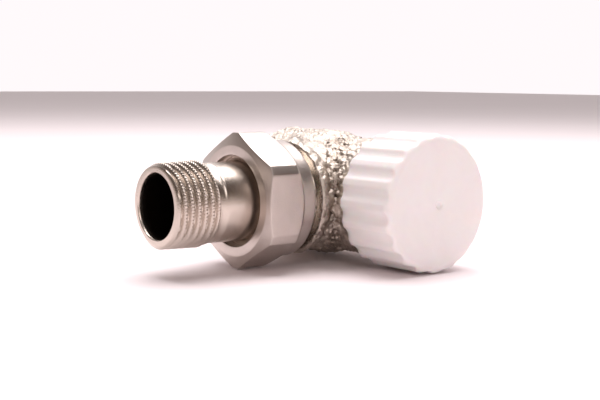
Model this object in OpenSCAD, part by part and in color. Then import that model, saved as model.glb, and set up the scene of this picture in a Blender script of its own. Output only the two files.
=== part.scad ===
// Angle radiator valve, size DN15, lying on its side.
// Origin: centre of the inlet face. The inlet and stem axis is Y, with the cap towards +Y.
// The outlet axis is parallel to X, with the union tail towards +X. Z is up.

/* [Layout] */
// Distance from the inlet face to the outlet axis
inlet_reach = 26; // [25.5:0.25:28]
// Distance from the stem axis to the end of the tail
tail_reach = 58; // [57:0.5:64]

/* [Casting] */
// Wall radius of the inlet thread's hole (Rp1/2)
inlet_thread_r = 9.3; // [9.1:0.05:9.6]
// Length of the inlet thread
inlet_thread_len = 13; // [12:0.25:13.5]
// Radius over the corners of the eight-sided inlet boss
boss_corner_r = 16.5; // [15.8:0.1:17]
// Largest radius of the round bulge behind the outlet
bulge_r = 16.2; // [15.4:0.1:16.8]
// Radius of the barrel between the bulge and the cap
barrel_r = 14.6; // [14.3:0.05:14.7]
// Radius of the outlet's water way
outlet_bore_r = 7.5; // [7:0.1:8]
// Radius of the hole in the valve seat
seat_bore_r = 5; // [4.6:0.1:5.4]

/* [Union] */
// Size of the union nut across its flats
nut_flats = 30; // [29.6:0.1:31]
// Length of the union nut
nut_len = 14.5; // [14:0.25:15.5]
// Radius of the hole in the nut's front lip
nut_bore_r = 11.2; // [10.8:0.1:11.5]
// Radius of the outlet spigot over its thread (G3/4)
spigot_r = 13.15; // [13:0.05:13.25]

/* [Tail] */
// Radius of the radiator thread (R1/2)
tail_thread_r = 10.3; // [10:0.05:10.5]
// Length of the radiator thread
tail_thread_len = 11.5; // [10:0.5:12.5]
// Radius of the plain neck between thread and nut
neck_r = 9.65; // [9.3:0.05:9.9]
// Radius of the bore through the tail
tail_bore_r = 7.7; // [7.4:0.1:7.9]

/* [Cap] */
// Outer radius of the cap over its scallops
cap_r = 17; // [16.8:0.1:18]
// Height of the cap
cap_height = 17; // [16.5:0.25:18]
// Number of scallops round the cap
flute_count = 20; // [16:4:24]
// Depth of each scallop
flute_depth = 0.75; // [0.4:0.05:0.9]

/* [Valve insert] */
// Lift of the disc from closed to open
stem_lift = 3.5; // [3:0.25:3.75]
// Radius of the spindle
spindle_r = 2; // [1.9:0.05:2.1]
// Radius of the pressure pin
pin_r = 1.5; // [1.4:0.05:1.6]
// Wire diameter of the return spring
spring_wire = 0.9; // [0.7:0.05:1]
// Turns of the return spring
spring_turns = 4.5; // [4:0.5:5]

/* [Hidden] */

$fn = 96;
// Overshoot of a cut past the face it leaves
cut = 1;
// Radial clearance of a shaft or screwed piece in its hole
fit_gap = 0.05;
// Clearance between plain stand-ins of screw threads that turn
turn_gap = 0.08;
// Clearance between curved faces that only lie near each other
near_gap = 0.3;

// Heights along the stem, counted from the outlet axis
seat_y = 1 - outlet_bore_r;
disc_t = 2.5;
holder_y = seat_y + disc_t;
holder_plate_t = 1.2;
hub_top_y = holder_y + holder_plate_t + 3.3;
foot_y = hub_top_y + stem_lift + 2.5;
foot_wall_t = 2;
ledge_y = foot_y + foot_wall_t;
body_thread_top_y = 24.5;
housing_flange_y = 17.5;
housing_flange_t = 1.5;
housing_top_y = 25;
spring_room = 6.3;
cup_y = ledge_y + spring_room;
cup_t = 1;
clip_y = cup_y + cup_t;
clip_t = 0.7;
spindle_top_y = clip_y + clip_t + 0.8;
gland_foot_y = spindle_top_y + stem_lift + near_gap;
pin_top_y = 28.5;
cap_foot_y = 17.5;
cap_top_y = cap_foot_y + cap_height;

// Cap
skirt_wall = 1.85;
skirt_in_r = cap_r - skirt_wall;

// Casting, whose neck and bores follow the cap that screws on
neck_wall = 4;
neck_drop = 0.85;
step_w = 1.6;
hex_room = 2.35;
head_thread_r = skirt_in_r - near_gap;
head_neck_r = head_thread_r - neck_drop;
recess_r = head_thread_r - neck_wall;
chamber_r = recess_r - step_w;
recess_y = 16;
seat_lip_wall = 1.3;
seat_lip_r = seat_bore_r + seat_lip_wall;
seat_lip_h = 1.2;
inlet_way_r = 7.5;
boss_len = 12;
boss_chamfer = 1.8;
ring_r = 14.2;

// Union and tail, counted along the outlet from the stem axis
nut_front_x = 36.2;
nut_back_x = nut_front_x - nut_len;
nut_lip_t = 2.8;
// Turned off each sharp corner of the hexagon
nut_corner_cut = 0.67;
nut_corner_r = flats_to_corner(nut_flats, 6) - nut_corner_cut;
nut_ring_r = 13.5;
nut_collar_r = 14.5;
nut_collar_len = 4.1;
nut_front_drop = 0.96;
lip_back_x = nut_front_x - nut_lip_t;
collar_t = 2.4;
spigot_end_x = lip_back_x - collar_t;
collar_r = 12;
nose_len = 3.4;
nose_end_r = 8.6;
nose_root_r = 10.6;
thread_start_x = tail_reach - 1 - tail_thread_len;
lug_h = 1.2;
lug_from = 6;

// Disc and what holds it
disc_room = 1.85;
stud_r = 1.5;
stud_len = 2.6;
disc_washer_r = 3.4;
disc_washer_t = 0.6;
disc_nut_flats = 5.5;
disc_nut_t = 1.8;
holder_rim = 0.2;
holder_r = chamber_r - disc_room;
disc_r = holder_r - holder_rim;
hub_wall = 1.2;

// Gland and its seals
gland_bore_r = 5.6;
pocket_r = 3.1;
pin_washer_t = 0.7;
pin_seal_d = 1.5;
back_ring_t = 1;
gland_seal_d = 1.2;
gland_groove_at = 1.6;
spindle_groove = 0.35;
clip_w = 1.2;
guide_wall = 1.5;
spring_room_r = 5;
spring_mean_r = 3.7;

module at_outlet_axis() {
    translate([0, inlet_reach, 0]) children();
}

// Turns a profile of [radius, distance from the outlet axis] about the stem axis
module turned_on_stem(profile) {
    at_outlet_axis() rotate([-90, 0, 0]) rotate_extrude() polygon(profile);
}

// Turns a profile of [radius, distance from the stem axis] about the outlet axis
module turned_on_outlet(profile) {
    at_outlet_axis() rotate([0, 90, 0]) rotate_extrude() polygon(profile);
}

module stem_rod(r, y0, y1, sides = 96) {
    at_outlet_axis() rotate([-90, 0, 0]) translate([0, 0, y0]) cylinder(r = r, h = y1 - y0, $fn = sides);
}

module outlet_rod(r, x0, x1, sides = 96) {
    at_outlet_axis() rotate([0, 90, 0]) translate([0, 0, x0]) cylinder(r = r, h = x1 - x0, $fn = sides);
}

// Flat ring on the stem axis
module stem_ring(r_in, r_out, y0, y1) {
    difference() {
        stem_rod(r_out, y0, y1);
        stem_rod(r_in, y0 - cut, y1 + cut);
    }
}

// Round rubber ring on the stem axis that fills the height from y0
module o_ring(r_in, section_d, y0) {
    at_outlet_axis() rotate([-90, 0, 0]) translate([0, 0, y0 + section_d / 2])
        rotate_extrude() translate([r_in + section_d / 2, 0]) circle(d = section_d, $fn = 32);
}

function flats_to_corner(flats, sides) = flats / 2 / cos(180 / sides);

// Points of a quarter round between two directions
function arc_points(centre, r, from, to, steps) =
    [for (i = [0:steps]) centre + r * [cos(from + (to - from) * i / steps), sin(from + (to - from) * i / steps)]];

// Barrel of the casting: bulge, barrel, groove and head thread
module casting_barrel() {
    bulge_from = -inlet_reach + boss_len;
    bulge_to = -3;
    turned_on_stem([
        [0, bulge_from - 3],
        [bulge_r - 1.6, bulge_from - 2],
        [bulge_r - 0.5, bulge_from],
        [bulge_r, bulge_from + 2.5],
        [bulge_r, bulge_to - 1.5],
        [bulge_r - 0.4, bulge_to + 0.5],
        [barrel_r + 0.4, bulge_to + 3.2],
        [barrel_r, bulge_to + 5],
        [barrel_r, cap_foot_y - 1],
        [head_neck_r, cap_foot_y - 0.4],
        [head_neck_r, cap_foot_y + 0.9],
        [head_thread_r, cap_foot_y + 1.4],
        [head_thread_r, body_thread_top_y - 0.7],
        [head_thread_r - 0.7, body_thread_top_y],
        [0, body_thread_top_y],
    ]);
}

// Eight-sided inlet boss with a corner up and a chamfered face
module inlet_boss() {
    intersection() {
        at_outlet_axis() rotate([-90, 0, 0]) translate([0, 0, -inlet_reach])
            cylinder(r = boss_corner_r, h = boss_len + 1, $fn = 8);
        turned_on_stem([
            [0, -inlet_reach - cut],
            [boss_corner_r - boss_chamfer - cut, -inlet_reach - cut],
            [boss_corner_r + cut, -inlet_reach + boss_chamfer + cut],
            [boss_corner_r + cut, 0],
            [0, 0],
        ]);
    }
}

// Outlet spigot with the rib behind the nut, up to the mouth of the union
module outlet_spigot() {
    turned_on_outlet([
        [0, 2],
        [bulge_r - 2.6, 2],
        [bulge_r - 2.6, 12.5],
        [spigot_r - 0.1, 15.2],
        [ring_r - 0.3, 16.6],
        [ring_r, 17.4],
        [ring_r, 18.4],
        [ring_r - 0.3, 19.2],
        [spigot_r - 1, 19.8],
        [spigot_r - 1, 21.2],
        [spigot_r, 22],
        [spigot_r, spigot_end_x - 0.8],
        [spigot_r - 0.8, spigot_end_x],
        [0, spigot_end_x],
    ]);
}

// Water way along the stem axis, with the seat's raised lip left standing
module stem_way() {
    thread_end = -inlet_reach + inlet_thread_len;
    seat_root = seat_y - 2.7;
    turned_on_stem([
        [0, -inlet_reach - cut],
        [inlet_thread_r, -inlet_reach - cut],
        [inlet_thread_r, thread_end],
        [inlet_way_r, thread_end + 1.2],
        [inlet_way_r, seat_root],
        [seat_bore_r, seat_root],
        [seat_bore_r, seat_y],
        [seat_lip_r, seat_y],
        [seat_lip_r + 0.4, seat_y - seat_lip_h],
        [chamber_r, seat_y - seat_lip_h],
        [chamber_r, recess_y],
        [recess_r, recess_y],
        [recess_r, body_thread_top_y + cut],
        [0, body_thread_top_y + cut],
    ]);
}

// Water way along the outlet, with the conical seat of the union
module outlet_way() {
    cone_r = nose_root_r + near_gap + fit_gap;
    cone_len = nose_len + near_gap + 0.1;
    slope = (nose_root_r - nose_end_r) / nose_len;
    turned_on_outlet([
        [0, 0],
        [outlet_bore_r, 0],
        [outlet_bore_r, spigot_end_x - cone_len],
        [cone_r - slope * cone_len, spigot_end_x - cone_len],
        [cone_r + slope * cut, spigot_end_x + cut],
        [0, spigot_end_x + cut],
    ]);
}

module valve_body() {
    color([0.72, 0.69, 0.66]) difference() {
        union() {
            casting_barrel();
            inlet_boss();
            outlet_spigot();
        }
        stem_way();
        outlet_way();
    }
}

// Hexagon with both ends chamfered, the round collar behind it and the lipped bore
module union_nut() {
    hex_back_x = nut_back_x + nut_collar_len;
    color([0.80, 0.78, 0.76]) difference() {
        union() {
            intersection() {
                outlet_rod(flats_to_corner(nut_flats, 6), nut_back_x + 2, nut_front_x, 6);
                turned_on_outlet([
                    [0, hex_back_x - 0.4],
                    [nut_collar_r, hex_back_x - 0.4],
                    [nut_corner_r, hex_back_x + 1.4],
                    [nut_corner_r, nut_front_x - nut_front_drop],
                    [nut_ring_r, nut_front_x],
                    [0, nut_front_x],
                ]);
            }
            turned_on_outlet([
                [0, nut_back_x],
                [nut_collar_r - 0.5, nut_back_x],
                [nut_collar_r, nut_back_x + 0.5],
                [nut_collar_r, hex_back_x],
                [0, hex_back_x],
            ]);
        }
        turned_on_outlet([
            [0, nut_back_x - cut],
            [spigot_r + turn_gap + 0.6 + cut, nut_back_x - cut],
            [spigot_r + turn_gap, nut_back_x + 0.6],
            [spigot_r + turn_gap, lip_back_x],
            [nut_bore_r, lip_back_x],
            [nut_bore_r, nut_front_x + cut],
            [0, nut_front_x + cut],
        ]);
    }
}

// Turned tail: conical nose, collar, filleted neck, groove and radiator thread
module tailpiece() {
    groove_w = 1.4;
    fillet_r = 1.2;
    color([0.83, 0.80, 0.76]) {
        difference() {
            turned_on_outlet(concat([
                    [0, spigot_end_x - nose_len],
                    [nose_end_r, spigot_end_x - nose_len],
                    [nose_root_r, spigot_end_x],
                    [collar_r - 0.2, spigot_end_x],
                    [collar_r, spigot_end_x + 0.2],
                    [collar_r, lip_back_x],
                ],
                arc_points([neck_r + fillet_r, lip_back_x + fillet_r], fillet_r, 270, 180, 5),
                [
                    [neck_r, thread_start_x - groove_w - 0.4],
                    [neck_r - 0.4, thread_start_x - groove_w],
                    [neck_r - 0.4, thread_start_x - 0.7],
                    [tail_thread_r, thread_start_x],
                    [tail_thread_r, tail_reach - 1],
                    [tail_thread_r - 1.1, tail_reach],
                    [0, tail_reach],
                ]));
            outlet_rod(tail_bore_r, spigot_end_x - nose_len - cut, tail_reach + cut);
        }
        key_lugs();
    }
}

// Two ribs inside the bore that a stepped key turns
module key_lugs() {
    lug_len = 9;
    lug_w = 2.4;
    lug_x = spigot_end_x + lug_from;
    intersection() {
        outlet_rod(tail_bore_r + 0.3, lug_x, lug_x + lug_len);
        at_outlet_axis() for (side = [-1, 1]) {
            translate([lug_x - cut, -lug_w / 2, side * (tail_bore_r - lug_h / 2 + 1) - lug_h / 2 - 1])
                cube([lug_len + 2 * cut, lug_w, lug_h + 2]);
        }
    }
}

// White cap: fluted skirt, rounded front edge, gate mark, inner boss and ribs
module protective_cap() {
    wall = 1.8;
    edge_r = 2.2;
    room_r = skirt_in_r - 1.1;
    room_top_y = cap_top_y - wall;
    flute_r = 3;
    boss_r = 3.2;
    rib_t = 1.2;
    rib_count = 4;
    color([0.95, 0.93, 0.92]) {
        difference() {
            turned_on_stem(concat([[0, cap_foot_y], [cap_r - 0.3, cap_foot_y], [cap_r, cap_foot_y + 0.3]],
                arc_points([cap_r - edge_r, cap_top_y - edge_r], edge_r, 0, 90, 6),
                [[0, cap_top_y]]));
            turned_on_stem([
                [0, cap_foot_y - cut],
                [skirt_in_r, cap_foot_y - cut],
                [skirt_in_r, body_thread_top_y + 0.8],
                [room_r, body_thread_top_y + 1.6],
                [room_r, room_top_y - 1],
                [room_r - 1, room_top_y],
                [0, room_top_y],
            ]);
            at_outlet_axis() rotate([-90, 0, 0]) for (i = [0:flute_count - 1]) {
                rotate([0, 0, (i + 0.5) * 360 / flute_count])
                    translate([cap_r + flute_r - flute_depth, 0, cap_foot_y - cut])
                    cylinder(r = flute_r, h = cap_height + 2 * cut);
            }
            stem_rod(1, cap_top_y - 0.4, cap_top_y + cut);
        }
        stem_rod(boss_r, pin_top_y, room_top_y + wall / 3);
        at_outlet_axis() for (i = [0:rib_count - 1]) rotate([0, i * 360 / rib_count, 0]) {
            translate([boss_r - 0.5, room_top_y - 2.2, -rib_t / 2])
                cube([room_r - boss_r + 0.7, 2.2 + wall / 3, rib_t]);
        }
    }
}

// Bonnet: threaded foot, flange, hexagon and the bores for guide, spring and gland
module insert_housing() {
    hex_flats = 2 * (recess_r - hex_room);
    thread_r = chamber_r - fit_gap;
    color([0.80, 0.66, 0.38]) difference() {
        union() {
            turned_on_stem([
                [0, foot_y],
                [thread_r - 1.6, foot_y],
                [thread_r, foot_y + 2],
                [thread_r, housing_flange_y],
                [recess_r - 0.15, housing_flange_y],
                [recess_r - 0.15, housing_flange_y + housing_flange_t],
                [0, housing_flange_y + housing_flange_t],
            ]);
            stem_rod(flats_to_corner(hex_flats, 6), housing_flange_y + housing_flange_t - 0.5, housing_top_y, 6);
        }
        turned_on_stem([
            [0, foot_y - cut],
            [spindle_r + guide_wall, foot_y - cut],
            [spindle_r + guide_wall, ledge_y],
            [spring_room_r, ledge_y],
            [spring_room_r, gland_foot_y],
            [gland_bore_r, gland_foot_y],
            [gland_bore_r, housing_top_y + cut],
            [0, housing_top_y + cut],
        ]);
    }
}

module insert_o_ring() {
    color([0.08, 0.08, 0.08]) o_ring(chamber_r, housing_flange_y - recess_y, recess_y);
}

module guide_bush() {
    color([0.90, 0.88, 0.82]) stem_ring(spindle_r + fit_gap, spindle_r + guide_wall - fit_gap / 2, foot_y, ledge_y);
}

// Gland with its head on the housing, a groove for its own seal and a pocket for the pin's seals
module gland_nut() {
    head_flats = 11;
    head_t = 2;
    pocket_top_y = gland_foot_y + pin_washer_t + pin_seal_d + back_ring_t;
    groove_y = gland_foot_y + gland_groove_at;
    groove_r = gland_bore_r - gland_seal_d;
    color([0.80, 0.66, 0.38]) difference() {
        union() {
            turned_on_stem([
                [0, gland_foot_y],
                [gland_bore_r - fit_gap, gland_foot_y],
                [gland_bore_r - fit_gap, groove_y],
                [groove_r, groove_y],
                [groove_r, groove_y + gland_seal_d],
                [gland_bore_r - fit_gap, groove_y + gland_seal_d],
                [gland_bore_r - fit_gap, housing_top_y],
                [0, housing_top_y],
            ]);
            stem_rod(flats_to_corner(head_flats, 6), housing_top_y, housing_top_y + head_t, 6);
        }
        stem_rod(pocket_r, gland_foot_y - cut, pocket_top_y);
        stem_rod(pin_r + turn_gap, gland_foot_y - cut, housing_top_y + head_t + cut);
    }
}

module gland_o_ring() {
    color([0.08, 0.08, 0.08]) o_ring(gland_bore_r - gland_seal_d, gland_seal_d, gland_foot_y + gland_groove_at);
}

module pin_washer() {
    color([0.80, 0.66, 0.38])
        stem_ring(pin_r + turn_gap, pocket_r - fit_gap, gland_foot_y, gland_foot_y + pin_washer_t);
}

module pin_o_ring() {
    seal_y = gland_foot_y + pin_washer_t;
    color([0.08, 0.08, 0.08]) o_ring(pin_r + fit_gap, pin_seal_d, seal_y);
}

module pin_back_ring() {
    ring_y = gland_foot_y + pin_washer_t + pin_seal_d;
    color([0.92, 0.92, 0.90])
        stem_ring(pin_r + turn_gap, pocket_r - fit_gap, ring_y, ring_y + back_ring_t);
}

module pressure_pin() {
    color([0.78, 0.78, 0.80]) turned_on_stem([
        [0, spindle_top_y],
        [pin_r, spindle_top_y],
        [pin_r, pin_top_y - 0.4],
        [pin_r - 0.4, pin_top_y],
        [0, pin_top_y],
    ]);
}

module spindle() {
    groove_r = spindle_r - spindle_groove;
    color([0.78, 0.78, 0.80]) turned_on_stem([
        [0, holder_y + holder_plate_t],
        [spindle_r, holder_y + holder_plate_t],
        [spindle_r, clip_y],
        [groove_r, clip_y],
        [groove_r, clip_y + clip_t],
        [spindle_r, clip_y + clip_t],
        [spindle_r, spindle_top_y - 0.2],
        [spindle_r - 0.2, spindle_top_y],
        [0, spindle_top_y],
    ]);
}

module spindle_clip() {
    groove_r = spindle_r - spindle_groove;
    opening = 60;
    color([0.35, 0.36, 0.38]) at_outlet_axis() rotate([-90, 0, 0]) translate([0, 0, clip_y])
        rotate_extrude(angle = 360 - opening)
        translate([groove_r + fit_gap / 2, 0]) square([clip_w + spindle_groove - fit_gap / 2, clip_t]);
}

module spring_cup() {
    color([0.75, 0.75, 0.77]) stem_ring(spindle_r + fit_gap, spring_room_r - 0.4, cup_y, cup_y + cup_t);
}

// Helix of the spring's wire: eight-sided rings swept along the turns
module return_spring() {
    steps = 12;
    sides = 8;
    rings = spring_turns * steps;
    wire_r = spring_wire / 2;
    rise = spring_room - spring_wire;
    points = [for (i = [0:rings], k = [0:sides - 1])
        let (turn = 360 * i / steps, around = 360 * k / sides, r = spring_mean_r + wire_r * cos(around))
        [r * cos(turn), r * sin(turn), ledge_y + wire_r + rise * i / rings + wire_r * sin(around)]];
    walls = [for (i = [0:rings - 1], k = [0:sides - 1])
        let (next = (k + 1) % sides)
        [i * sides + k, i * sides + next, (i + 1) * sides + next, (i + 1) * sides + k]];
    first = [for (k = [0:sides - 1]) sides - 1 - k];
    last = [for (k = [0:sides - 1]) rings * sides + k];
    color([0.62, 0.63, 0.65]) at_outlet_axis() rotate([-90, 0, 0])
        polyhedron(points = points, faces = concat([first], walls, [last]), convexity = 6);
}

// Carrier of the rubber disc: plate, hub for the spindle and stud for the nut
module disc_holder() {
    plate_r = holder_r;
    hub_r = spindle_r + hub_wall;
    plate_top = holder_y + holder_plate_t;
    color([0.80, 0.66, 0.38]) difference() {
        turned_on_stem([
            [0, seat_y - stud_len],
            [stud_r, seat_y - stud_len],
            [stud_r, holder_y],
            [plate_r, holder_y],
            [plate_r, plate_top - 0.3],
            [plate_r - 0.3, plate_top],
            [hub_r, plate_top],
            [hub_r, hub_top_y],
            [0, hub_top_y],
        ]);
        stem_rod(spindle_r + fit_gap / 2, plate_top, hub_top_y + cut);
    }
}

module seat_disc() {
    color([0.10, 0.10, 0.10]) stem_ring(stud_r + fit_gap / 2, disc_r, seat_y, holder_y);
}

module disc_washer() {
    color([0.75, 0.75, 0.77]) stem_ring(stud_r + fit_gap / 2, disc_washer_r, seat_y - disc_washer_t, seat_y);
}

module disc_nut() {
    nut_y = seat_y - disc_washer_t - disc_nut_t;
    color([0.80, 0.66, 0.38]) difference() {
        stem_rod(flats_to_corner(disc_nut_flats, 6), nut_y, nut_y + disc_nut_t, 6);
        stem_rod(stud_r + fit_gap / 2, nut_y - cut, nut_y + disc_nut_t + cut);
    }
}

valve_body();
union_nut();
tailpiece();
protective_cap();
insert_housing();
insert_o_ring();
guide_bush();
gland_nut();
gland_o_ring();
pin_washer();
pin_o_ring();
pin_back_ring();
pressure_pin();
spindle();
spindle_clip();
spring_cup();
return_spring();
disc_holder();
seat_disc();
disc_washer();
disc_nut();
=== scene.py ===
"""Dressed model of a nickel-plated angle radiator valve with a white protective cap.

Lengths inside the classes are millimetres, counted from the point where the stem axis (Y) meets the
outlet axis (X), with Z up. ``to_frame`` turns them into the metres of the shared frame.
"""

import logging
import math
from dataclasses import dataclass, field
from enum import Enum
from typing import Callable, Union

import bpy
import numpy as np
from mathutils import Matrix, Vector


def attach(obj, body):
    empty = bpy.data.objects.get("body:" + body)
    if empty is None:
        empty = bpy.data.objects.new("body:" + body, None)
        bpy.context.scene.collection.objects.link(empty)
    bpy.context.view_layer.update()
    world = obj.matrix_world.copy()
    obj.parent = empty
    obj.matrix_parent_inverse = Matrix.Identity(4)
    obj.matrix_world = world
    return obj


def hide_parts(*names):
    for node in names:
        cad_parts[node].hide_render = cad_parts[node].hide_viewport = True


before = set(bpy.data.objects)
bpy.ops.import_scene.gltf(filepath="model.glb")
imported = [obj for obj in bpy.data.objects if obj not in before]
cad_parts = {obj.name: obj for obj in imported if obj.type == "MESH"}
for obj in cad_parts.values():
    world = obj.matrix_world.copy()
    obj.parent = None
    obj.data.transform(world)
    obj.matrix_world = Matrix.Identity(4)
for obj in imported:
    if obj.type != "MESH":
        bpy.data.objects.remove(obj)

LOG = logging.getLogger("angle_valve")
OUTLET_HEIGHT = 26.0
Values = dict[Union[int, str], object]
Colour = tuple[float, float, float]


class Axis(Enum):
    """The two axes that the turned pieces share."""

    STEM = "stem"
    OUTLET = "outlet"


class Hand(Enum):
    """Side of a screw's wall that carries the thread."""

    OUTSIDE = -1.0
    INSIDE = 1.0


def to_frame(points: np.ndarray) -> np.ndarray:
    """Turn millimetres from the axes' crossing into metres of the shared frame.

    Args:
        points: array whose last axis is x, y, z.

    Returns:
        The same array, moved up the stem by the outlet's height and divided by a thousand.
    """
    return (np.asarray(points) + np.array([0.0, OUTLET_HEIGHT, 0.0])) * 0.001


# ---------------------------------------------------------------- surfaces


def smooth_min(a: np.ndarray, b: np.ndarray, blend: float) -> np.ndarray:
    """Return the lesser of two fields, rounded over where they are within ``blend`` of each other.

    Formula: mix of b and a by h, less blend times h times (1 - h), with h rising from 0 to 1 as
    b - a goes from -blend to blend.

    Args:
        a: first field.
        b: second field.
        blend: width of the rounding, in the fields' unit.

    Returns:
        The rounded minimum.
    """
    h = np.clip(0.5 + 0.5 * (b - a) / blend, 0.0, 1.0)
    return b + (a - b) * h - blend * h * (1.0 - h)


def smooth_max(a: np.ndarray, b: np.ndarray, blend: float) -> np.ndarray:
    """Return the greater of two fields, rounded as ``smooth_min`` rounds the lesser."""
    return -smooth_min(-a, -b, blend)


def thread_wave(turns: np.ndarray) -> np.ndarray:
    """Return the depth of a rounded V thread, 0 on a crest and 1 in a root.

    Formula: six tenths of a triangle wave plus four tenths of a cosine wave of the same period.

    Args:
        turns: place along the thread, in pitches.

    Returns:
        Depth from 0 to 1.
    """
    part = turns - np.floor(turns)
    triangle = 1.0 - np.abs(2.0 * part - 1.0)
    return 0.6 * triangle + 0.4 * (0.5 - 0.5 * np.cos(2.0 * math.pi * part))


def rounded_loop(corners: np.ndarray, radii: np.ndarray, arc: int = 5) -> np.ndarray:
    """Round every corner of closed polygons, one polygon for each angle about the axis.

    Formula: each corner C gives points of the curve (1-t)^2 A + 2t(1-t) C + t^2 B, where A and B lie
    on its two sides at the rounding distance, or at 0.45 of a side that is shorter.

    Args:
        corners: array of angles by corners by 2.
        radii: rounding distance of each corner.
        arc: points along each corner.

    Returns:
        Array of angles by (corners times arc) by 2.
    """
    before = np.roll(corners, 1, axis=1) - corners
    after = np.roll(corners, -1, axis=1) - corners
    len_before = np.linalg.norm(before, axis=2, keepdims=True)
    len_after = np.linalg.norm(after, axis=2, keepdims=True)
    reach = np.asarray(radii)[None, :, None]
    start = corners + before / np.maximum(len_before, 1e-9) * np.minimum(reach, 0.45 * len_before)
    end = corners + after / np.maximum(len_after, 1e-9) * np.minimum(reach, 0.45 * len_after)
    t = np.linspace(0.0, 1.0, arc)[None, None, :, None]
    curve = (1 - t) ** 2 * start[:, :, None] + 2 * t * (1 - t) * corners[:, :, None] + t**2 * end[:, :, None]
    return curve.reshape(corners.shape[0], -1, 2)


def split_sides(loop: np.ndarray, longest: float) -> np.ndarray:
    """Add points along a loop's long sides, the same number at every angle.

    Formula: side k gets ceil(its greatest length over all angles / longest) equal steps.

    Args:
        loop: array of angles by points by 2.
        longest: longest side to leave, in millimetres.

    Returns:
        The loop with its added points.
    """
    nxt = np.roll(loop, -1, axis=1)
    steps = np.maximum(1, np.ceil(np.linalg.norm(nxt - loop, axis=2).max(axis=0) / longest)).astype(int)
    side = np.repeat(np.arange(loop.shape[1]), steps)
    first = np.repeat(np.cumsum(steps) - steps, steps)
    t = ((np.arange(side.size) - first) / steps[side])[None, :, None]
    return loop[:, side] * (1 - t) + nxt[:, side] * t


def around(axis: Axis, angle: np.ndarray, radius: np.ndarray, along: np.ndarray) -> np.ndarray:
    """Place points about an axis.

    Formula: about the outlet (along, radius cos angle, radius sin angle), about the stem
    (radius sin angle, along, radius cos angle); both turn right-handed about their axis.

    Args:
        axis: axis of the piece.
        angle: angle of each point in radians.
        radius: distance of each point from the axis.
        along: distance of each point along the axis.

    Returns:
        Array of points with a last axis of 3.
    """
    c, s = radius * np.cos(angle), radius * np.sin(angle)
    if axis is Axis.OUTLET:
        return np.stack([along + 0 * c, c, s], axis=-1)
    return np.stack([s, along + 0 * c, c], axis=-1)


def grid_faces(rows: int, columns: int, wrap_columns: bool) -> np.ndarray:
    """List the four-sided faces of a grid whose rows close on themselves.

    Args:
        rows: points about the axis.
        columns: points along the profile.
        wrap_columns: whether the profile closes on itself too.

    Returns:
        Array of faces by 4 vertex numbers.
    """
    last = columns if wrap_columns else columns - 1
    i, j = np.meshgrid(np.arange(rows), np.arange(last), indexing="ij")
    i2, j2 = (i + 1) % rows, (j + 1) % columns
    return np.stack([i * columns + j, i * columns + j2, i2 * columns + j2, i2 * columns + j], axis=-1).reshape(-1, 4)


def facing_out(points: np.ndarray, faces: np.ndarray) -> np.ndarray:
    """Turn all faces over where the solid that they close has a negative volume.

    Formula: six times the volume is the sum over all faces of a . (b x c), each quad cut in two.
    """
    a, b, c, d = (points[faces[:, k]] for k in range(4))
    volume = np.einsum("ij,ij->", a, np.cross(b, c)) + np.einsum("ij,ij->", a, np.cross(c, d))
    return faces if volume > 0 else faces[:, ::-1]


def mesh_object(name: str, points: np.ndarray, faces: np.ndarray, sharp: float = 38.0) -> bpy.types.Object:
    """Make a closed, smooth-shaded object from points in millimetres.

    Args:
        name: name of the piece.
        points: array of vertices by 3, from the axes' crossing.
        faces: array of faces by 4; a face whose last two numbers are equal is a triangle.
        sharp: edges that bend by more than this many degrees stay crisp.

    Returns:
        The linked object, at the origin.
    """
    faces = facing_out(points, faces)
    triangle = (faces == np.roll(faces, -1, axis=1)).any(axis=1)
    thin = faces[triangle]
    keep = thin != np.roll(thin, -1, axis=1)
    listed = faces[~triangle].tolist() + thin[keep].reshape(-1, 3).tolist()
    mesh = bpy.data.meshes.new(name)
    mesh.from_pydata(to_frame(points).tolist(), [], listed)
    mesh.polygons.foreach_set("use_smooth", np.ones(len(mesh.polygons), dtype=bool))
    mesh.set_sharp_from_angle(angle=math.radians(sharp))
    mesh.update()
    piece = bpy.data.objects.new(name, mesh)
    bpy.context.scene.collection.objects.link(piece)
    return piece


def add_mask(piece: bpy.types.Object, name: str, values: np.ndarray) -> None:
    """Store one number for each vertex, which a material reads by its name."""
    layer = piece.data.attributes.new(name, "FLOAT", "POINT")
    layer.data.foreach_set("value", np.clip(values, 0.0, 1.0).astype(np.float32).ravel())


def ring_object(name: str, points: np.ndarray, sharp: float = 38.0) -> bpy.types.Object:
    """Make a piece from a grid that closes both about the axis and along the profile.

    Args:
        name: name of the piece.
        points: array of angles by profile points by 3.
        sharp: crisp edge angle in degrees.

    Returns:
        The linked object.
    """
    rows, columns = points.shape[:2]
    return mesh_object(name, points.reshape(-1, 3), grid_faces(rows, columns, True), sharp)


def poled_object(name: str, points: np.ndarray, sharp: float = 38.0) -> bpy.types.Object:
    """Make a piece from a grid whose first and last columns lie on the axis, as two poles.

    Args:
        name: name of the piece.
        points: array of angles by profile points by 3.
        sharp: crisp edge angle in degrees.

    Returns:
        The linked object, with one vertex at each pole.
    """
    rows, columns = points.shape[:2]
    inner = columns - 2
    ring = np.arange(rows)
    body = points[:, 1:-1].reshape(-1, 3)
    every = np.vstack([body, points[:1, 0], points[:1, -1]])
    pole, far = rows * inner, rows * inner + 1
    nxt = (ring + 1) % rows
    start = np.stack([np.full(rows, pole), ring * inner, nxt * inner, np.full(rows, pole)], axis=1)
    start[:, 3] = start[:, 2]
    end = np.stack([ring * inner + inner - 1, np.full(rows, far), np.full(rows, far), nxt * inner + inner - 1], axis=1)
    return mesh_object(name, every, np.vstack([grid_faces(rows, inner, False), start, end]), sharp)


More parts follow.
